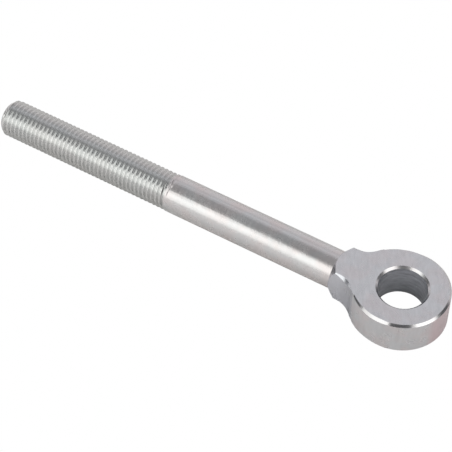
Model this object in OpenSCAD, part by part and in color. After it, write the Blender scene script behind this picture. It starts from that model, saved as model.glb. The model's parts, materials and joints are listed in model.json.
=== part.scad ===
// Eye screw: a milled eye on a turned neck, a plain shank and a long threaded end.
// Millimetres. The origin is the centre of the eye's bore, +X runs along the shank
// to the threaded end, and +Z is the bore's axis, so the screw lies on one flat face.

/* [Eye] */
// Outer diameter of the ring
eye_d = 38.6; // [36:0.1:40]
// Thickness over the two flat faces
eye_t = 16.4; // [16.4:0.1:18]
// Width of the bevel round the rim
rim_bevel = 0.9; // [0.5:0.1:1.5]
// Angle from the shank's axis where each cheek leaves the ring
cheek_a = 110; // [100:1:120]
// Radius of the cheeks, which lead the ring into the neck
cheek_r = 20.6; // [20.3:0.1:22]
// Angle from there along a cheek at which the rim bevel has run out
run_out_a = 66; // [60:1:70]

/* [Bore] */
// Diameter of the bore
bore_d = 19.9; // [16:0.1:21]
// Width of the bevel at both ends of the bore
bore_bevel = 0.9; // [0.3:0.1:1.2]

/* [Neck] */
// Width between the two milled hollows where the neck is narrowest
neck_w = 15.4; // [15:0.1:15.9]
// Radius of the milled hollows, which end at the foot of the shoulder
hollow_r = 17.6; // [16:0.1:19]
// Diameter of the turned neck, whose corners stay round
neck_d = 22.1; // [21:0.1:23]
// Distance from the bore's centre to the end of the turned neck's straight part
neck_x = 23.8; // [22:0.1:24.1]
// Radius of the turned flare from the neck up to the eye
flare_r = 9.7; // [8:0.1:11]
// Distance from the bore's centre to the foot of the shoulder
shoulder_x = 28.7; // [28.5:0.1:31]
// Slope of the shoulder against the shank's axis
shoulder_a = 48; // [44:1:55]

/* [Shank and thread] */
// Diameter of the plain shank
shank_d = 16.2; // [16.1:0.05:16.3]
// Outer diameter of the thread
thread_d = 15.9; // [15.6:0.05:16]
// Distance from the bore's centre to the end of the thread
reach = 188.5; // [140:0.5:260]
// Length of the threaded end
thread_l = 81; // [40:0.5:100]
// Length over which the shank tapers to the thread
taper_l = 1.5; // [0.5:0.1:3]
// Width of the bevel at the thread's end
end_bevel = 1.5; // [0.5:0.1:2]

/* [Hidden] */
eye_r = eye_d / 2;
half_t = eye_t / 2;
neck_r = neck_d / 2;
shank_r = shank_d / 2;
thread_r = thread_d / 2;
// A cheek's arc has its centre this far behind the bore's
cheek_off = cheek_r - eye_r;
cheek_x = -cheek_off * cos(cheek_a);
cheek_y = -cheek_off * sin(cheek_a);
// The cone that narrows the bevel has its axis still further back
fade = round(50 * rim_bevel * (2 * cheek_r - rim_bevel)
    / (cheek_r * (1 - cos(run_out_a)) - rim_bevel)) / 100;
fade_r = cheek_r - rim_bevel + fade;
// Everything is drawn this far to either side before the two flat faces are milled
over_t = half_t + 1;
// A hollow cuts this deep into its cheek, so the two meet in an edge
nick = 0.05;
hollow_y = neck_w / 2 + hollow_r;
hollow_x = cheek_x + sqrt(pow(cheek_r + hollow_r - nick, 2) - pow(hollow_y - cheek_y, 2));
// Where the lines from the cheeks' centres to the hollows' centres cross
web_x = cheek_x - cheek_y * (hollow_x - cheek_x) / (hollow_y - cheek_y);
// Where the shoulder's cone reaches the turned neck
corner_x = shoulder_x - (neck_r - shank_r) / tan(shoulder_a);
thread_x = reach - thread_l;
far = 60;

$fn = 96;

// Upper half of the eye: the ring behind, and the cheek that leaves it without a step
module half_eye() {
    rotate([0, 0, cheek_a]) {
        rotate_extrude(angle = 200 - cheek_a)
            polygon([
                [0, -over_t],
                [eye_r - rim_bevel - 1, -over_t],
                [eye_r, rim_bevel - half_t],
                [eye_r, half_t - rim_bevel],
                [eye_r - rim_bevel - 1, over_t],
                [0, over_t]
            ]);
        intersection() {
            translate([-cheek_off, 0, 0])
                mirror([0, 1, 0])
                    rotate_extrude(angle = 90)
                        translate([0, -over_t])
                            square([cheek_r, 2 * over_t]);
            translate([-cheek_off - fade, 0, 0])
                rotate_extrude()
                    polygon([
                        [0, -over_t],
                        [fade_r - 1, -over_t],
                        [fade_r + half_t, 0],
                        [fade_r - 1, over_t],
                        [0, over_t]
                    ]);
        }
    }
}

// What the milling takes off beside the neck, up to the foot of the shoulder
module hollow() {
    intersection() {
        translate([hollow_x, hollow_y, -over_t])
            cylinder(h = 2 * over_t, r = hollow_r);
        translate([-far, 0, -over_t])
            cube([far + shoulder_x, 2 * far, 2 * over_t]);
    }
}

// Eye and neck as milled from the bar
module milled() {
    difference() {
        union() {
            half_eye();
            mirror([0, 1, 0])
                half_eye();
            linear_extrude(height = 2 * over_t, center = true)
                polygon([
                    [web_x, 0],
                    [hollow_x, hollow_y],
                    [reach + 1, hollow_y],
                    [reach + 1, -hollow_y],
                    [hollow_x, -hollow_y]
                ]);
        }
        hollow();
        mirror([0, 1, 0])
            hollow();
    }
}

// The turned form round the shank's axis: flare, neck, shoulder, shank and thread
module turned() {
    rotate([0, 90, 0])
        rotate_extrude()
            difference() {
                polygon([
                    [0, -far],
                    [far, -far],
                    [far, neck_x - flare_r],
                    [neck_r + flare_r, neck_x - flare_r],
                    [neck_r + flare_r, neck_x],
                    [neck_r, neck_x],
                    [neck_r, corner_x],
                    [shank_r, shoulder_x],
                    [shank_r, thread_x - taper_l],
                    [thread_r, thread_x],
                    [thread_r, reach - end_bevel],
                    [thread_r - end_bevel, reach],
                    [0, reach]
                ]);
                translate([neck_r + flare_r, neck_x])
                    circle(flare_r);
            }
}

// The bore, bevelled at both ends
module bore() {
    bore_r = bore_d / 2;
    rotate_extrude()
        polygon([
            [0, -half_t - 1],
            [bore_r + bore_bevel + 1, -half_t - 1],
            [bore_r, bore_bevel - half_t],
            [bore_r, half_t - bore_bevel],
            [bore_r + bore_bevel + 1, half_t + 1],
            [0, half_t + 1]
        ]);
}

module eye_screw() {
    color([0.72, 0.73, 0.75])
        difference() {
            intersection() {
                milled();
                turned();
                translate([-far, -far, -half_t])
                    cube([far + reach + 1, 2 * far, eye_t]);
            }
            bore();
        }
}

eye_screw();
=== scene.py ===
# %% [markdown]
# Eye screw: a thick flat eye on a turned neck, a plain shank and a long thread, all
# one piece of zinc plated steel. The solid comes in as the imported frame. What is made
# here is its looks: the ridges of the thread, the plated finish, the studio round it
# and the camera. Everything is in metres, with +X along the shank to the threaded end
# and +Z along the axis of the bore.

# %% Load the solid
import json
import math
from typing import NamedTuple

import bmesh
import bpy
from mathutils import Matrix, Vector


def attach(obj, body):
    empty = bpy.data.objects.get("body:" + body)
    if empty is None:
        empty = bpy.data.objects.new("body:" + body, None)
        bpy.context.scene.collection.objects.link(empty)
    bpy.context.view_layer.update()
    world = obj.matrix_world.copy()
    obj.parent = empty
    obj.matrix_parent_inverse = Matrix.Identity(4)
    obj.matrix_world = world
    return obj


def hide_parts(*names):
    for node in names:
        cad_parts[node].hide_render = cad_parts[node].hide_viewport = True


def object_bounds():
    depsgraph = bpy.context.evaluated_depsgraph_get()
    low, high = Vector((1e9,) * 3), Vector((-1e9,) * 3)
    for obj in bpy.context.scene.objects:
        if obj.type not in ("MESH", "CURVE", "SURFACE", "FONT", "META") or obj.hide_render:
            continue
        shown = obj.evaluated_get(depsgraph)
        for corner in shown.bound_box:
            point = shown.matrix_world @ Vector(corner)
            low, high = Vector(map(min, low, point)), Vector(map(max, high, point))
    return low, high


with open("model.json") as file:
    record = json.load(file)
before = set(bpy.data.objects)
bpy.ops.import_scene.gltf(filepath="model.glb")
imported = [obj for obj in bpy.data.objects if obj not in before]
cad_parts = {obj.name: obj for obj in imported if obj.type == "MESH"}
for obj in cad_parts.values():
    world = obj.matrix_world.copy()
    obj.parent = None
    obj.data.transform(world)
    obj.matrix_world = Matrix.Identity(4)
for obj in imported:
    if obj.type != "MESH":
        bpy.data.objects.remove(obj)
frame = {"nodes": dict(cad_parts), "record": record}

cad_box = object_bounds()
MM = 0.001
print("solid, mm:", [round((b - a) / MM, 2) for a, b in zip(*cad_box)])

# %% [markdown]
# The looks have to fit the solid, so its sizes are read and not typed in again. The
# record says where the bore and the thread are, and the box round the solid says how
# far it reaches.

# %% Sizes from the record
solid = frame["nodes"]["eye_screw"].data
mounts = {mount["name"]: mount for mount in frame["record"]["mounts"]}
bore = mounts["eye_bore"]
threaded_end = mounts["threaded_end"]
BORE_R = bore["dims"]["r_mm"] * MM
THREAD_R = threaded_end["dims"]["r_mm"] * MM
THREAD_X = threaded_end["pos_m"][0] - threaded_end["dims"]["length_mm"] / 2 * MM
REACH = cad_box[1].x
FACE_Z = cad_box[1].z
EYE_R = -cad_box[0].x
print("thread, mm: radius", round(THREAD_R / MM, 2), "from", round(THREAD_X / MM, 2))
print("eye, mm: radius", round(EYE_R / MM, 2), "bore", round(BORE_R / MM, 2))

# %% [markdown]
# The record doesn't give the plain shank, so it is found on the solid itself. Beyond the
# middle of the screw, the vertices that lie farthest from the axis are on the shank, and
# the first and the last ring of that radius are its two ends.

# %% Plain shank, measured on the solid
TINY = 0.001 * MM


def from_axis(vertex):
    """How far a vertex lies from the shank's axis."""
    return math.hypot(vertex.co.y, vertex.co.z)


SHANK_R = max(from_axis(v) for v in solid.vertices if v.co.x > REACH / 2)
shank_rings = [
    v.co.x for v in solid.vertices
    if v.co.x > EYE_R and abs(from_axis(v) - SHANK_R) < TINY
]
SHOULDER_X = min(shank_rings)
TAPER_L = THREAD_X - max(shank_rings)
print("plain shank, mm: radius", round(SHANK_R / MM, 2), "from", round(SHOULDER_X / MM, 2))
print("taper to the thread, mm:", round(TAPER_L / MM, 2))

# %% [markdown]
# The camera looks down on the eye from behind and to one side, through a long lens, so
# the shank runs away to the upper left. Its place is given as two angles and a distance
# from the point that lies in the middle of the picture. That is easier to think about
# than three coordinates, because each value changes one thing in the picture.

# %% Where the camera stands
PICTURE_PX = 452
# the focal length as a number of the picture's pixels, and Blender's sensor in mm
FOCAL_PX = 1887.3
SENSOR_W = 36.0
LOOK_AT = Vector((78.38, 3.77, 0.0)) * MM
CAMERA_AWAY = 768.5 * MM
# round the screw from the side of -Y, up from the floor, and leaning to one side
AZIMUTH = math.radians(209.66)
ELEVATION = math.radians(50.29)
ROLL = math.radians(1.59)

back = Vector((
    math.sin(AZIMUTH) * math.cos(ELEVATION),
    -math.cos(AZIMUTH) * math.cos(ELEVATION),
    math.sin(ELEVATION),
))
print("camera at, mm:", [round(v / MM, 1) for v in LOOK_AT + back * CAMERA_AWAY])

# %% [markdown]
# A camera in Blender looks along its own -Z, with +X to the right of the picture and +Y
# up. So three directions turn it: right, up, and back from the scene towards the camera.
# Level ones come first, and then the roll leans them.

# %% Camera
NEAREST = 0.01
FARTHEST = 50.0


def make_camera():
    """A camera at the picture's viewing angle, with no shift and no blur."""
    level_right = Vector((math.cos(AZIMUTH), math.sin(AZIMUTH), 0.0))
    level_up = back.cross(level_right)
    right = math.cos(ROLL) * level_right + math.sin(ROLL) * level_up
    up = math.cos(ROLL) * level_up - math.sin(ROLL) * level_right
    made = bpy.data.objects.new("camera", bpy.data.cameras.new("camera"))
    bpy.context.scene.collection.objects.link(made)
    turn = Matrix((right, up, back)).transposed().to_4x4()
    made.matrix_world = Matrix.Translation(LOOK_AT + back * CAMERA_AWAY) @ turn
    made.data.sensor_width = SENSOR_W
    made.data.lens = SENSOR_W * FOCAL_PX / PICTURE_PX
    made.data.clip_start = NEAREST
    made.data.clip_end = FARTHEST
    return made


camera = make_camera()
bpy.context.scene.camera = camera
print("lens, mm:", round(camera.data.lens, 1))

# %% [markdown]
# The studio, the floor and the plating are all made of nodes, and so is the thread. Each
# node would take a line to make and another for each wire. These helpers make a node and
# wire it in one go, so that a step of the sum reads as one line. They serve shader trees
# and geometry trees alike, because Math and Map Range are the same nodes in both.

# %% Helpers for trees of nodes
def add(tree, kind, inputs=(), **settings):
    """A node with its settings and inputs; an input may be a value or another socket."""
    node = tree.nodes.new(kind)
    for name, value in settings.items():
        setattr(node, name, value)
    for key, value in dict(inputs).items():
        if isinstance(value, bpy.types.NodeSocket):
            tree.links.new(value, node.inputs[key])
        else:
            node.inputs[key].default_value = value
    return node


def maths(tree, operation, *values):
    """The result of one Math node."""
    return add(tree, "ShaderNodeMath", enumerate(values), operation=operation).outputs[0]


def ramp(tree, value, start, end, low=0.0, high=1.0, kind="SMOOTHSTEP"):
    """Goes from low to high while the value goes from start to end."""
    return add(tree, "ShaderNodeMapRange", {
        "Value": value, "From Min": start, "From Max": end, "To Min": low, "To Max": high,
    }, interpolation_type=kind).outputs[0]


def mixed(tree, factor, first, second):
    """A colour between two others; each may be a value or a socket."""
    mix = add(tree, "ShaderNodeMix", {0: factor, 6: first, 7: second}, data_type="RGBA")
    return mix.outputs[2]


WHITE = (1.0, 1.0, 1.0, 1.0)
print("helpers:", [helper.__name__ for helper in (add, maths, ramp, mixed)])

# %% [markdown]
# Bright plating has little colour of its own: what is seen in it is the studio. So the
# studio is built for its reflections, as a photographer would place soft boxes. Each box
# is a patch on the sky, given by the direction of its middle, its width and height, how
# soft its rim is, and a colour. Between the boxes the studio is dark, which gives the
# bevels their black stretches. One box leans, because the thread's steep flanks throw
# its light to the camera along a slanting line.

# %% Soft boxes
class SoftBox(NamedTuple):
    """A bright patch on the sky. Angles are in degrees, and azimuth 0 is along +X."""
    azimuth: float
    elevation: float
    half_width: float
    half_height: float
    soft_across: float
    soft_up: float
    lean: float
    colour: tuple


# azimuth and elevation, half sizes, softness across and up, lean, colour;
# a later box covers what it shares with an earlier one
SOFT_BOXES = [
    SoftBox(-150, 47, 24, 14, 12, 7, 0, (0.62, 0.61, 0.63)),
    SoftBox(122, 10, 16, 10, 8, 8, 0, (0.62, 0.61, 0.63)),
    SoftBox(78, 5, 34, 12, 10, 8, 0, (0.84, 0.83, 0.81)),
    SoftBox(68, 31, 24, 21, 4.5, 11, 0, (1.55, 1.54, 1.50)),
    SoftBox(20, 48, 28, 10, 16, 5, -0.37, (1.50, 1.50, 1.47)),
    SoftBox(169, 33, 23.5, 26, 9, 8, 0, (1.75, 1.72, 1.68)),
    SoftBox(-66, 8, 67, 28, 7, 12, 0, (0.76, 0.72, 0.73)),
    SoftBox(-68, 54, 46, 16, 12, 10, 0, (0.76, 0.755, 0.78)),
    SoftBox(20, 78, 180, 18, 1, 13, 0, (0.35, 0.35, 0.355)),
]
print("soft boxes:", len(SOFT_BOXES))

# %% [markdown]
# A soft box needs no lamp and no mesh. The world shader knows the direction that it is
# asked for, so it can measure how far that direction is from the middle of a box, once
# sideways and once up, and fade from 1 to 0 over the soft rim. The two fades multiplied
# give a patch with rounded soft corners.

# %% Mask of one soft box
def patch(tree, azimuth, elevation, box):
    """A mask that is 1 inside a soft box and falls softly to 0 outside it."""
    off_az = maths(tree, "SUBTRACT", azimuth, math.radians(box.azimuth))
    off_az = maths(tree, "WRAP", off_az, math.pi, -math.pi)
    off_el = maths(tree, "SUBTRACT", elevation, math.radians(box.elevation))
    off_el = maths(tree, "SUBTRACT", off_el, maths(tree, "MULTIPLY", off_az, box.lean))
    masks = []
    for off, half, soft in (
        (off_az, box.half_width, box.soft_across),
        (off_el, box.half_height, box.soft_up),
    ):
        inner = math.radians(half - soft)
        outer = math.radians(half + soft)
        masks.append(ramp(tree, maths(tree, "ABSOLUTE", off), inner, outer, 1.0, 0.0))
    return maths(tree, "MULTIPLY", *masks)


widest = max(SOFT_BOXES, key=lambda box: box.half_width)
print("widest soft box, degrees:", 2 * widest.half_width)

# %% [markdown]
# The world starts from the dark grey of the studio and lays one box after another over
# it. A pale light comes up from below the floor's level, so that the underside of the
# screw isn't black when it is looked at from there. The camera itself sees plain white
# behind everything, which Light Path tells apart from a reflection.

# %% Studio light
STUDIO_GREY = (0.12, 0.12, 0.123, 1.0)
UNDER_LIGHT = (0.55, 0.55, 0.56, 1.0)
UNDER_START = math.radians(-10)
UNDER_FULL = math.radians(-25)


def make_studio():
    """A world that lights the screw with the soft boxes and looks white itself."""
    world = bpy.data.worlds.new("studio")
    world.use_nodes = True
    tree = world.node_tree
    tree.nodes.clear()
    direction = add(tree, "ShaderNodeTexCoord").outputs["Generated"]
    x, y, z = add(tree, "ShaderNodeSeparateXYZ", {0: direction}).outputs
    azimuth = maths(tree, "ARCTAN2", y, x)
    elevation = maths(tree, "ARCSINE", z)
    colour = STUDIO_GREY
    for box in SOFT_BOXES:
        mask = patch(tree, azimuth, elevation, box)
        colour = mixed(tree, mask, colour, (*box.colour, 1.0))
    is_under = ramp(tree, elevation, UNDER_START, UNDER_FULL)
    colour = mixed(tree, is_under, colour, UNDER_LIGHT)
    lit = add(tree, "ShaderNodeBackground", {"Color": colour}).outputs[0]
    seen = add(tree, "ShaderNodeBackground", {"Color": WHITE}).outputs[0]
    is_seen = add(tree, "ShaderNodeLightPath").outputs["Is Camera Ray"]
    both = add(tree, "ShaderNodeMixShader", {0: is_seen, 1: lit, 2: seen})
    add(tree, "ShaderNodeOutputWorld", {"Surface": both.outputs[0]})
    return world


studio = make_studio()
bpy.context.scene.world = studio
bpy.context.scene.view_settings.view_transform = "Standard"
print("studio:", len(studio.node_tree.nodes), "nodes")

# %% [markdown]
# The screw lies on a sheet of paper, and the bright metal mirrors it. So the floor has
# to be a real surface and not only a white background. It is one plain face, a hair
# below the screw, and large enough that its far edge is never seen or mirrored.

# %% Floor
FLOOR_SIZE = 12.0
FLOOR_GAP = 0.02 * MM
FLOOR_Z = cad_box[0].z - FLOOR_GAP


def make_floor():
    """One large square face just below the screw."""
    half = FLOOR_SIZE / 2
    square = [(-half, -half), (half, -half), (half, half), (-half, half)]
    mesh = bpy.data.meshes.new("floor")
    mesh.from_pydata([(x, y, FLOOR_Z) for x, y in square], [], [(0, 1, 2, 3)])
    made = bpy.data.objects.new("floor", mesh)
    bpy.context.scene.collection.objects.link(made)
    return made


floor = make_floor()
print("floor at z, mm:", round(FLOOR_Z / MM, 2))

# %% [markdown]
# To the camera the paper is pure white, as in a picture for a catalogue. In the plating
# it is mirrored as what it is, pale paper in the studio's light. Far from the eye it also
# has a painted glow, which stands for paper lying out of the screw's shade and lifts what
# the shank mirrors there. From below, and where the screw touches it, the paper can be
# seen through, so that the underside can be looked at and doesn't turn black.

# %% Paper of the floor
PAPER = (0.98, 0.965, 0.955, 1.0)
# the painted glow grows with the distance beyond the shank, and along it from the eye
PAINTED_GLOW = 0.175
GLOW_FULL_Y = 50 * MM
GLOW_FROM_X = 10 * MM
GLOW_FULL_X = 45 * MM
# a ray that is shorter than this comes from metal that touches the paper
TOUCHING = 8 * FLOOR_GAP


def make_paper():
    """White to the camera, pale paper to the plating, clear from below."""
    paper = bpy.data.materials.new("floor_paper")
    paper.use_nodes = True
    tree = paper.node_tree
    tree.nodes.clear()
    place = add(tree, "ShaderNodeTexCoord").outputs["Object"]
    x, y, _z = add(tree, "ShaderNodeSeparateXYZ", {0: place}).outputs
    # painted light: the paper glows more away from the screw, as if it lay out of the screw's
    # shade
    beyond = ramp(tree, y, 0.0, GLOW_FULL_Y, 0.0, PAINTED_GLOW)
    along = ramp(tree, x, GLOW_FROM_X, GLOW_FULL_X)
    strength = maths(tree, "MULTIPLY", beyond, along)
    painted_glow = add(tree, "ShaderNodeEmission", {"Color": PAPER, "Strength": strength}).outputs[0]
    matt = add(tree, "ShaderNodeBsdfDiffuse", {"Color": PAPER}).outputs[0]
    mirrored = add(tree, "ShaderNodeAddShader", {0: matt, 1: painted_glow}).outputs[0]
    seen = add(tree, "ShaderNodeEmission", {"Color": WHITE}).outputs[0]
    light_path = add(tree, "ShaderNodeLightPath").outputs
    is_seen = light_path["Is Camera Ray"]
    top = add(tree, "ShaderNodeMixShader", {0: is_seen, 1: mirrored, 2: seen}).outputs[0]
    below = add(tree, "ShaderNodeNewGeometry").outputs["Backfacing"]
    touching = maths(tree, "LESS_THAN", light_path["Ray Length"], TOUCHING)
    is_clear = maths(tree, "MAXIMUM", below, touching)
    clear = add(tree, "ShaderNodeBsdfTransparent").outputs[0]
    both = add(tree, "ShaderNodeMixShader", {0: is_clear, 1: top, 2: clear})
    add(tree, "ShaderNodeOutputMaterial", {"Surface": both.outputs[0]})
    return paper


floor.data.materials.append(make_paper())
print("floor glows from x, mm:", round(GLOW_FROM_X / MM), "on")

# %% [markdown]
# A zinc plated part is turned and milled first and plated after. So the tool's marks are
# still there, softened by a thin bright skin, and the skin adds its own clouds and dull
# places. All surfaces share this, so it is one group of nodes with named inputs, and
# each surface later puts it on with its own values. The group gives out a colour, a
# roughness and a height. The shader itself stays in each material, where the export can
# read it.

# %% Inputs and outputs of the plating
def group_socket(group, name, in_out, kind="Float", value=None):
    """A named input or output of a group; an input has a value to start from."""
    kind = "NodeSocket" + kind
    socket = group.interface.new_socket(name=name, in_out=in_out, socket_type=kind)
    if value is not None:
        socket.default_value = value


plating = bpy.data.node_groups.new("zinc_plating", "ShaderNodeTree")
for name, kind, value in (
    ("Steel", "Color", (0.67, 0.67, 0.68, 1.0)),
    ("Shade", "Float", 1.0),
    ("Bloom", "Float", 0.5),
    ("Pinker", "Float", 0.0),
    ("Roughness", "Float", 0.25),
    ("Mark Turn", "Float", 0.0),
    ("Mark Stretch", "Vector", (1.0, 1.0, 1.0)),
    ("Mark Scale", "Float", 900.0),
    ("Mark Depth", "Float", 0.5),
    ("Mark Tone", "Float", 0.0),
):
    group_socket(plating, name, "INPUT", kind, value)
for name, kind in (("Color", "Color"), ("Roughness", "Float"), ("Marks", "Float")):
    group_socket(plating, name, "OUTPUT", kind)
skin_in = add(plating, "NodeGroupInput").outputs
place = add(plating, "ShaderNodeTexCoord").outputs["Object"]
print("plating:", [item.name for item in plating.interface.items_tree])

# %% [markdown]
# Zinc that has been treated after plating shows a faint bloom, blue in some places and
# pink in others, like thin oil on water. It is a slow noise over the whole screw that
# leads from one colour to the other. Pinker shifts the border between them, and Bloom
# says how much of it covers the steel.

# %% Bloom of the plating
PINK_BLOOM = (0.70, 0.58, 0.60, 1.0)
BLUE_BLOOM = (0.63, 0.67, 0.72, 1.0)
CLOUD_SCALE = 110.0
BLUE_UP_TO = 0.38
PINK_FROM = 0.62

cloud = add(plating, "ShaderNodeTexNoise", {
    "Vector": place, "Scale": CLOUD_SCALE, "Detail": 3.0}).outputs["Fac"]
leaning = maths(plating, "ADD", cloud, skin_in["Pinker"])
is_pink = ramp(plating, leaning, BLUE_UP_TO, PINK_FROM)
bloom = mixed(plating, is_pink, BLUE_BLOOM, PINK_BLOOM)
skin = mixed(plating, skin_in["Bloom"], skin_in["Steel"], bloom)
print("bloom: clouds about", round(1 / CLOUD_SCALE / MM), "mm across")

# %% [markdown]
# A cutter leaves fine lines along its way. A noise becomes such lines when its space is
# stretched: a small factor along one axis draws it out along that axis. Turning the
# space first points the lines where the tool went. The same noise gives the height for
# the bump and a small change of tone, so that the light and the colour of a line agree.

# %% Tool marks of the plating
# a noise swings about this value
NOISE_MIDDLE = 0.5

turned = add(plating, "ShaderNodeVectorRotate", {
    "Vector": place, "Axis": (0.0, 0.0, 1.0), "Angle": skin_in["Mark Turn"]}).outputs[0]
drawn_out = add(plating, "ShaderNodeVectorMath", {
    0: turned, 1: skin_in["Mark Stretch"]}, operation="MULTIPLY").outputs[0]
marks = add(plating, "ShaderNodeTexNoise", {
    "Vector": drawn_out, "Scale": skin_in["Mark Scale"], "Detail": 3.0, "Roughness": 0.6,
}).outputs["Fac"]
height = maths(plating, "MULTIPLY", marks, skin_in["Mark Depth"])
lighter = maths(plating, "SUBTRACT", marks, NOISE_MIDDLE)
tone = maths(plating, "MULTIPLY", lighter, skin_in["Mark Tone"])
# Shade scales the whole colour; the hollows and the bore lower it to paint shade
toned = add(plating, "ShaderNodeVectorMath", {
    0: skin, "Scale": maths(plating, "ADD", tone, skin_in["Shade"])}, operation="SCALE")
print("plating so far:", len(plating.nodes), "nodes")

# %% [markdown]
# Plating is never evenly bright. A second slow noise makes it duller here and glossier
# there, which breaks up the edges of the mirrored soft boxes. With that the three
# outputs of the group are complete.

# %% Dull places, and the plating's outputs
DULL_SCALE = 250.0
DULL_SWING = 0.2

dull = add(plating, "ShaderNodeTexNoise", {
    "Vector": place, "Scale": DULL_SCALE, "Detail": 2.0}).outputs["Fac"]
duller = maths(plating, "SUBTRACT", dull, NOISE_MIDDLE)
swing = maths(plating, "MULTIPLY", duller, DULL_SWING)
add(plating, "NodeGroupOutput", {
    "Color": toned.outputs[0],
    "Roughness": maths(plating, "ADD", skin_in["Roughness"], swing),
    "Marks": height,
})
print("plating:", len(plating.nodes), "nodes")

# %% [markdown]
# The surfaces of the screw were not all made with the same tool. The flat faces were
# milled along one direction, the rim and the hollows beside the neck were milled with
# the side of a cutter, and the bore, the neck and the shank were turned or drilled, which
# leaves rings. Each finish has its own steel tone, dullness and tool marks. A finish
# lists only what differs from the group's own values.

# %% Values of the finishes
FINISHES = {
    "zinc_on_flat_faces": {
        "Steel": (0.695, 0.695, 0.71), "Bloom": 0.18, "Pinker": -0.03, "Roughness": 0.26,
        "Mark Turn": math.radians(-30), "Mark Stretch": (1.0, 0.25, 1.0),
        "Mark Scale": 900.0, "Mark Depth": 0.3, "Mark Tone": 0.26,
    },
    "zinc_on_rim": {
        "Steel": (0.71, 0.71, 0.72), "Bloom": 0.25, "Roughness": 0.30,
        "Mark Stretch": (1.0, 1.0, 0.2),
        "Mark Scale": 600.0, "Mark Depth": 0.3, "Mark Tone": 0.20,
    },
    # painted shade: a Shade below 1 darkens the hollows beside the neck
    "zinc_in_hollows": {
        "Steel": (0.69, 0.70, 0.75), "Shade": 0.8, "Bloom": 0.15, "Pinker": -0.15,
        "Roughness": 0.30, "Mark Stretch": (1.0, 1.0, 0.2),
        "Mark Scale": 600.0, "Mark Depth": 0.3, "Mark Tone": 0.20,
    },
    "zinc_on_rim_bevels": {
        "Bloom": 0.1, "Roughness": 0.18,
        "Mark Stretch": (1.0, 0.1, 0.1), "Mark Scale": 1300.0, "Mark Depth": 0.8,
    },
    "zinc_on_bore_bevels": {
        "Bloom": 0.1, "Roughness": 0.26,
        "Mark Scale": 900.0, "Mark Depth": 0.3,
    },
    # painted shade: the bore's low Shade, raised along Z below, makes it darker deep down
    "zinc_in_bore": {
        "Steel": (0.605, 0.625, 0.66), "Shade": 0.68, "Bloom": 0.05, "Roughness": 0.32,
        "Mark Stretch": (0.9, 0.9, 4.0),
        "Mark Scale": 290.0, "Mark Depth": 0.8, "Mark Tone": 0.9,
    },
    "zinc_on_turned_neck": {
        "Steel": (0.64, 0.665, 0.705), "Bloom": 0.1, "Roughness": 0.26,
        "Mark Stretch": (6.0, 1.0, 1.0), "Mark Scale": 500.0, "Mark Depth": 0.2,
    },
    "zinc_on_shank": {
        "Steel": (0.675, 0.67, 0.665), "Bloom": 0.22, "Roughness": 0.26,
        "Mark Stretch": (1.0, 0.5, 0.5),
        "Mark Scale": 700.0, "Mark Depth": 3.5, "Mark Tone": 0.10,
    },
    "zinc_on_thread": {
        "Steel": (0.69, 0.70, 0.695), "Bloom": 0.04, "Roughness": 0.18,
        "Mark Scale": 900.0, "Mark Depth": 0.1,
    },
}
print("finishes:", list(FINISHES))

# %% [markdown]
# Some finishes change from place to place. The rim has a pink bloom where it is farthest
# from the shank. The hollows carry painted shade, deepest next to the eye's ring and fading
# towards the shank, and the bore carries painted shade that deepens towards its bottom,
# where its marks are also calmer than at its top. Each change follows one axis of the screw.

# %% Changes along an axis
class Change(NamedTuple):
    """An input that grows by an amount between two places along an axis."""
    key: str
    axis: str
    start: float
    end: float
    amount: float


CHANGES = {
    "zinc_on_rim": [
        Change("Bloom", "X", -16.4 * MM, -18.4 * MM, 0.6),
        Change("Pinker", "X", -16.0 * MM, -18.0 * MM, 0.3),
    ],
    # painted shade in the hollows, deepest next to the ring and fading towards the shank
    "zinc_in_hollows": [Change("Shade", "X", 16.0 * MM, 25.0 * MM, 0.2)],
    "zinc_in_bore": [
        Change("Mark Tone", "Z", 0.0, 6.0 * MM, 0.9),
        # painted shade in the bore, darkest at its bottom and lifted towards its top
        Change("Shade", "Z", -8.0 * MM, 6.0 * MM, 0.55),
    ],
}
print("finishes that change along an axis:", len(CHANGES))

# %% [markdown]
# Now each finish becomes a material: the plating group with the finish's values, and a
# metal that takes its colour, roughness and bump from it. The coordinates are the
# object's own, so the marks stay where they are from whichever side the screw is seen.

# %% Materials
MARK_HEIGHT = 0.02 * MM


def make_finish(name):
    """The material of one machined surface."""
    material = bpy.data.materials.new(name)
    material.use_nodes = True
    tree = material.node_tree
    tree.nodes.clear()
    skin = add(tree, "ShaderNodeGroup", node_tree=plating)
    for key, value in FINISHES[name].items():
        skin.inputs[key].default_value = (*value, 1.0) if key == "Steel" else value
    for change in CHANGES.get(name, []):
        place = add(tree, "ShaderNodeTexCoord").outputs["Object"]
        along = add(tree, "ShaderNodeSeparateXYZ", {0: place}).outputs[change.axis]
        base = skin.inputs[change.key].default_value
        grown = ramp(tree, along, change.start, change.end, base, base + change.amount)
        tree.links.new(grown, skin.inputs[change.key])
    bump = add(tree, "ShaderNodeBump", {
        "Height": skin.outputs["Marks"], "Distance": MARK_HEIGHT, "Strength": 1.0})
    metal = add(tree, "ShaderNodeBsdfPrincipled", {
        "Base Color": skin.outputs["Color"],
        "Roughness": skin.outputs["Roughness"],
        "Normal": bump.outputs["Normal"],
        "Metallic": 1.0,
    })
    add(tree, "ShaderNodeOutputMaterial", {"Surface": metal.outputs[0]})
    return material


finishes = {name: make_finish(name) for name in FINISHES}
print("materials:", len(finishes))

# %% [markdown]
# The thread follows a rule: one ridge wound round the shank, the same in every turn. So
# it is made with Geometry Nodes, and the sizes are inputs of the tree, so that the same
# tree could wind any other thread. The ridge has the true form of a metric thread, with
# flanks at 60 degrees and a narrow flat crest, because only steep flanks mirror light
# twice and give the bright teeth that real threads show. A bump in the material couldn't
# do that.

# %% Sizes of the thread
PITCH = 2.0 * MM
# how much of the pitch the flat crest takes up
CREST_SHARE = 0.125
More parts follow.
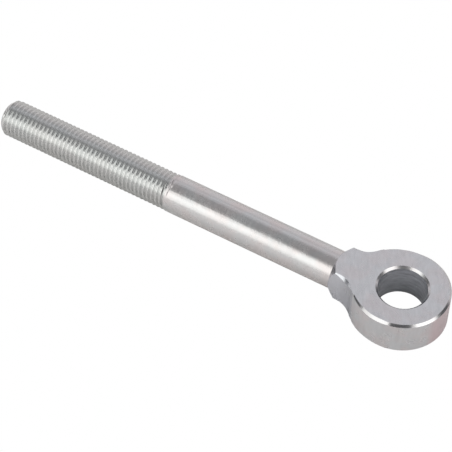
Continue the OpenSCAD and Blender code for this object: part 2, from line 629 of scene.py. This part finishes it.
# the thread starts this much nearer the eye than the solid's plain stand-in for it
EARLIER = 0.8 * MM
THREAD_START = THREAD_X - EARLIER
TAPER_START = THREAD_START - TAPER_L
AROUND = 96

THREAD_SIZES = {
    "Start": TAPER_START,
    "End": REACH,
    "Shank Radius": SHANK_R,
    "Thread Radius": THREAD_R,
    "Pitch": PITCH,
    "Ridge Height": 1.2 * MM,
    # counted from the middle of a valley, as a share of the pitch
    "Crest From": (1 - CREST_SHARE) / 2,
    "Groove Offset": EARLIER,
    "Taper": TAPER_L,
    "Run In": 0.2 * MM,
    "End Bevel": 2.0 * MM,
    "Around": AROUND,
    "Ridge Steps": 16,
}
print("turns:", round((REACH - THREAD_START) / PITCH, 1))

# %% [markdown]
# A flat grid is wound up. Its long side follows the helix, turn after turn, and its short
# side goes from the middle of one crest down into the valley and up to the middle of the
# next crest. So each turn lies edge to edge with the one before. The grid has one turn
# more than it needs at either end.

# %% Tree of the thread, and the flat grid
winding = bpy.data.node_groups.new("wind_thread", "GeometryNodeTree")
group_socket(winding, "Geometry", "OUTPUT", "Geometry")
for name, value in THREAD_SIZES.items():
    group_socket(winding, name, "INPUT", "Int" if isinstance(value, int) else "Float", value)
size = add(winding, "NodeGroupInput").outputs

length = maths(winding, "SUBTRACT", size["End"], size["Start"])
needed = maths(winding, "CEIL", maths(winding, "DIVIDE", length, size["Pitch"]))
turns = maths(winding, "ADD", needed, 2.0)
steps = maths(winding, "ADD", maths(winding, "MULTIPLY", turns, size["Around"]), 1.0)
rows = maths(winding, "ADD", size["Ridge Steps"], 1.0)
grid = add(winding, "GeometryNodeMeshGrid", {
    "Size X": 1.0, "Size Y": 1.0, "Vertices X": steps, "Vertices Y": rows})
print("thread tree:", len(winding.interface.items_tree) - 1, "inputs")

# %% [markdown]
# Each point of the grid gets an angle round the shank and a place along it. On a helix
# both grow together, one pitch for each turn. What would lie beyond either end of the
# thread is pressed flat onto that end, where the weld later makes one ring of it.

# %% Helix
# a grid of size 1 lies from -0.5 to 0.5, and is easier to use from 0 to 1
at = add(winding, "GeometryNodeInputPosition").outputs[0]
grid_x, grid_y, _grid_z = add(winding, "ShaderNodeSeparateXYZ", {0: at}).outputs
along = maths(winding, "ADD", grid_x, 0.5)
across = maths(winding, "ADD", grid_y, 0.5)

turn = maths(winding, "SUBTRACT", maths(winding, "MULTIPLY", along, turns), 1.0)
angle = maths(winding, "MULTIPLY", turn, math.tau)
helix_x = maths(winding, "MULTIPLY", maths(winding, "ADD", turn, across), size["Pitch"])
first_x = maths(winding, "ADD", size["Start"], size["Groove Offset"])
helix_x = maths(winding, "ADD", helix_x, first_x)
helix_x = maths(winding, "MAXIMUM", helix_x, size["Start"])
helix_x = maths(winding, "MINIMUM", helix_x, size["End"])
print("thread tree with the helix:", len(winding.nodes), "nodes")

# %% [markdown]
# The cross-section of the valley is built from its middle outwards: a flank rises at 60
# degrees on either side and ends at the flat crest. A smooth minimum with the ridge's
# height rounds the bottom, as a real cutter or roller does.

# %% Valley between two ridges
FLANK = math.radians(60)
ROOT_ROUNDING = 0.35 * MM

from_middle = maths(winding, "ABSOLUTE", maths(winding, "SUBTRACT", across, 0.5))
in_valley = maths(winding, "SUBTRACT", size["Crest From"], from_middle)
in_valley = maths(winding, "MULTIPLY", in_valley, size["Pitch"])
flank = maths(winding, "MULTIPLY", maths(winding, "MAXIMUM", in_valley, 0.0), math.tan(FLANK))
valley = maths(winding, "SMOOTH_MIN", flank, size["Ridge Height"], ROOT_ROUNDING)
sharp = THREAD_SIZES["Crest From"] * PITCH * math.tan(FLANK)
print("valley without the rounding, mm:", round(sharp / MM, 2))

# %% [markdown]
# At its start the shank tapers a little, and the valleys come in slowly out of the plain
# metal. At its end a bevel takes the ridges off. Both are changes of the radius along
# the shank, so they are the same sort of sum: the taper and the run-in are ramps, and
# the bevel is a cone that the radius may not pass.

# %% Radius along the shank
END_ROUNDING = 0.6 * MM

thread_x = maths(winding, "ADD", size["Start"], size["Taper"])
outer = ramp(
    winding, helix_x, size["Start"], thread_x, size["Shank Radius"], size["Thread Radius"],
    kind="LINEAR",
)
past_start = maths(winding, "SUBTRACT", helix_x, thread_x)
taper_back = maths(winding, "MULTIPLY", size["Taper"], -1.0)
come_in = ramp(winding, past_start, taper_back, size["Run In"], kind="LINEAR")
still_out = maths(winding, "SUBTRACT", 1.0, come_in)
held_off = maths(winding, "MULTIPLY", still_out, size["Ridge Height"])
cut = maths(winding, "MAXIMUM", maths(winding, "SUBTRACT", valley, held_off), 0.0)
radius = maths(winding, "SUBTRACT", outer, cut)

end_r = maths(winding, "SUBTRACT", size["Thread Radius"], size["End Bevel"])
cone = maths(winding, "ADD", end_r, maths(winding, "SUBTRACT", size["End"], helix_x))
radius = maths(winding, "SMOOTH_MIN", radius, cone, END_ROUNDING)
print("thread tree with the radius:", len(winding.nodes), "nodes")

# %% [markdown]
# Angle and radius give the place of each point round the shank. A disc closes the end,
# and Merge by Distance welds it and the seams between the turns. Realize Instances and
# Set Material come last, so that what leaves the tree is real mesh with its finish on.

# %% Wound, closed and welded
WELD = 0.002 * MM

around_y = maths(winding, "MULTIPLY", radius, maths(winding, "COSINE", angle))
around_z = maths(winding, "MULTIPLY", radius, maths(winding, "SINE", angle))
at_ridge = add(winding, "ShaderNodeCombineXYZ", {0: helix_x, 1: around_y, 2: around_z})
wound = add(winding, "GeometryNodeSetPosition", {
    "Geometry": grid.outputs["Mesh"], "Position": at_ridge.outputs[0]})
disc = add(winding, "GeometryNodeMeshCircle", {
    "Vertices": size["Around"], "Radius": end_r}, fill_type="NGON")
at_end = add(winding, "ShaderNodeCombineXYZ", {0: size["End"]})
facing = add(winding, "GeometryNodeTransform", {
    "Geometry": disc.outputs["Mesh"],
    "Rotation": (0.0, math.pi / 2, 0.0),
    "Translation": at_end.outputs[0],
})
joined = add(winding, "GeometryNodeJoinGeometry")
for part in (facing, wound):
    winding.links.new(part.outputs[0], joined.inputs[0])
welded = add(winding, "GeometryNodeMergeByDistance", {
    "Geometry": joined.outputs[0], "Distance": WELD})
real = add(winding, "GeometryNodeRealizeInstances", {"Geometry": welded.outputs[0]})
shown = add(winding, "GeometryNodeSetMaterial", {
    "Geometry": real.outputs[0], "Material": finishes["zinc_on_thread"]})
add(winding, "NodeGroupOutput", {"Geometry": shown.outputs[0]})
print("thread tree:", len(winding.nodes), "nodes")

# %% [markdown]
# A tree runs in a modifier, so an empty mesh carries it for a moment. The modifier knows
# its inputs by the sockets' identifiers and not by their names. What comes out is copied
# to a plain mesh, and the carrier with its modifier is removed.

# %% Thread as a plain mesh
def as_plain_mesh(tree, name, sizes):
    """Runs a Geometry Nodes tree with these sizes and returns the plain result."""
    carrier = bpy.data.objects.new(name, bpy.data.meshes.new(name))
    bpy.context.scene.collection.objects.link(carrier)
    modifier = carrier.modifiers.new(name, "NODES")
    modifier.node_group = tree
    for socket in tree.interface.items_tree:
        if socket.name in sizes:
            modifier[socket.identifier] = sizes[socket.name]
    evaluated = carrier.evaluated_get(bpy.context.evaluated_depsgraph_get())
    mesh = bpy.data.meshes.new_from_object(evaluated)
    bpy.data.objects.remove(carrier)
    mesh.name = name
    return mesh


thread_mesh = as_plain_mesh(winding, "thread", THREAD_SIZES)
print("thread faces:", len(thread_mesh.polygons))

# %% [markdown]
# The rest of the screw is a copy of the solid. One edge of it needs care: the bevel
# round the rim catches a bright highlight, so its width shows clearly. It follows each
# cheek, the arc that leads the ring into the neck, and keeps its width for a while
# before it runs out. The list gives its width on the flat face and its depth on the
# cheek, at angles counted from where the cheek leaves the ring.

# %% Bevel along the cheeks
class BevelPoint(NamedTuple):
    """The rim bevel at one angle along a cheek, in degrees and millimetres."""
    angle: float
    width: float
    depth: float


CHEEK_BEVEL = [
    BevelPoint(0.0, 0.90, 0.90),
    BevelPoint(10.8, 0.89, 0.87),
    BevelPoint(16.2, 1.05, 1.02),
    BevelPoint(21.6, 1.02, 1.12),
    BevelPoint(34.0, 0.84, 1.20),
    BevelPoint(43.0, 0.78, 1.02),
    BevelPoint(48.5, 0.64, 0.78),
    BevelPoint(54.0, 0.62, 0.68),
    BevelPoint(59.3, 0.55, 0.55),
    BevelPoint(64.5, 0.40, 0.40),
    BevelPoint(66.0, 0.20, 0.20),
]


def bevel_at(angle):
    """Width and depth of the bevel between two points of the list, or None beyond them."""
    for low, high in zip(CHEEK_BEVEL, CHEEK_BEVEL[1:]):
        if low.angle <= angle <= high.angle:
            share = (angle - low.angle) / (high.angle - low.angle)
            width = low.width + (high.width - low.width) * share
            depth = low.depth + (high.depth - low.depth) * share
            return width * MM, depth * MM
    return None


print("bevel at 30 degrees, mm:", [round(v / MM, 2) for v in bevel_at(30)])

# %% [markdown]
# The bevel has two edges, one on the flat face and one on the cheek. Their vertices are
# there already, so nothing new is cut: the vertices on the face move towards the middle
# of the cheek's arc, and those on the cheek move away from the face. The screw is the
# same on both sides of its axis, so the sums are done for +Y and mirrored.

# %% Vertices of the bevel moved into place
RING_R = 19.3 * MM
CHEEK_R = 20.6 * MM
CHEEK_START = math.radians(110)
CHEEK_MIDDLE = Vector((math.cos(CHEEK_START), math.sin(CHEEK_START))) * (RING_R - CHEEK_R)
# no vertex of the bevel lies further than this from the cheek's edge
BEVEL_REACH = 1.0 * MM


def widen_bevel(bm):
    """Moves the edges of the rim bevel along the cheeks; says how many vertices moved."""
    moved = 0
    for v in bm.verts:
        side = math.copysign(1, v.co.y)
        arm = Vector((v.co.x, v.co.y * side)) - CHEEK_MIDDLE
        found = bevel_at(math.degrees(CHEEK_START - math.atan2(arm.y, arm.x)))
        inside = CHEEK_R - arm.length > BEVEL_REACH or FACE_Z - abs(v.co.z) > BEVEL_REACH
        if found is None or inside:
            continue
        width, depth = found
        if FACE_Z - abs(v.co.z) < TINY:
            place = CHEEK_MIDDLE + arm.normalized() * (CHEEK_R - width)
            v.co.xy = (place.x, place.y * side)
        else:
            v.co.z = math.copysign(FACE_Z - depth, v.co.z)
        moved += 1
    return moved


body = bmesh.new()
body.from_mesh(solid)
bmesh.ops.remove_doubles(body, verts=body.verts, dist=TINY)
print("vertices of the bevel moved:", widen_bevel(body))

# %% [markdown]
# The copy is cut off on the plain shank, just before the thread. The wound thread joins
# it there, and a ring of faces bridges the two open ends. So the whole screw is one
# closed skin with no seam to be seen, and nothing of the solid is left inside it.

# %% Body and thread welded into one skin
CUT_X = TAPER_START - 1.0 * MM

bmesh.ops.bisect_plane(
    body, geom=body.verts[:] + body.edges[:] + body.faces[:], dist=TINY / 10,
    plane_co=(CUT_X, 0, 0), plane_no=(1, 0, 0), clear_outer=True,
)
body.from_mesh(thread_mesh)
open_edges = [edge for edge in body.edges if edge.is_boundary]
print("open edges before the weld:", len(open_edges))
bmesh.ops.bridge_loops(body, edges=open_edges)
bmesh.ops.recalc_face_normals(body, faces=body.faces)
print("open edges after the weld:", sum(not edge.is_manifold for edge in body.edges))

screw_mesh = bpy.data.meshes.new("eye_screw_plated")
body.to_mesh(screw_mesh)
body.free()
# normals stored with the solid no longer fit the cut skin
if "custom_normal" in screw_mesh.attributes:
    screw_mesh.attributes.remove(screw_mesh.attributes["custom_normal"])
screw = bpy.data.objects.new("eye_screw_plated", screw_mesh)
bpy.context.scene.collection.objects.link(screw)
print("screw faces:", len(screw_mesh.polygons))

# %% [markdown]
# The skin is one mesh, so each finish is a material slot, and each face picks its slot
# from where it is and which way it looks. Along the shank the places decide. On the eye
# it is the normal: a flat face looks straight up or down, a bevel looks half upwards,
# and a wall looks sideways. That is safer than picking faces by number, which would
# change with the solid.

# %% Which finish a face has
HOLLOWS_FROM = 15.2 * MM
BESIDE_BORE = 1.5 * MM
# how much of a normal points up or down
ON_FLAT = 0.98
ON_BEVEL = 0.3
ON_TURNED_NECK = 0.1


def surface_of(face):
    """The finish of a face, from where it is and which way it looks."""
    upright = abs(face.normal.z)
    if face.center.x > THREAD_START:
        return "zinc_on_thread"
    if face.center.x > SHOULDER_X:
        return "zinc_on_shank"
    if upright > ON_FLAT:
        return "zinc_on_flat_faces"
    if face.center.x > HOLLOWS_FROM:
        return "zinc_on_turned_neck" if upright > ON_TURNED_NECK else "zinc_in_hollows"
    by_bore = math.hypot(face.center.x, face.center.y) < BORE_R + BESIDE_BORE
    if upright > ON_BEVEL:
        return "zinc_on_bore_bevels" if by_bore else "zinc_on_rim_bevels"
    return "zinc_in_bore" if by_bore else "zinc_on_rim"


print("the first face is", surface_of(screw_mesh.polygons[0]))

# %% [markdown]
# The faces are then smoothed, so that the turned surfaces look round, but each edge
# between two surfaces stays sharp. One angle can tell the two apart: facets of a round
# surface differ by a few degrees, and a real edge on this screw by far more.

# %% Finishes on the faces, and sharp edges
SHARP = math.radians(28)

order = list(FINISHES)
for name in order:
    screw_mesh.materials.append(finishes[name])
counts = dict.fromkeys(order, 0)
for face in screw_mesh.polygons:
    name = surface_of(face)
    face.material_index = order.index(name)
    counts[name] += 1
screw_mesh.shade_smooth()
screw_mesh.set_sharp_from_angle(angle=SHARP)
print("faces of each finish:", counts)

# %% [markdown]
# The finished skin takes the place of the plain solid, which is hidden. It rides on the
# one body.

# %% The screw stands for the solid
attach(screw, "root")
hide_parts("eye_screw")
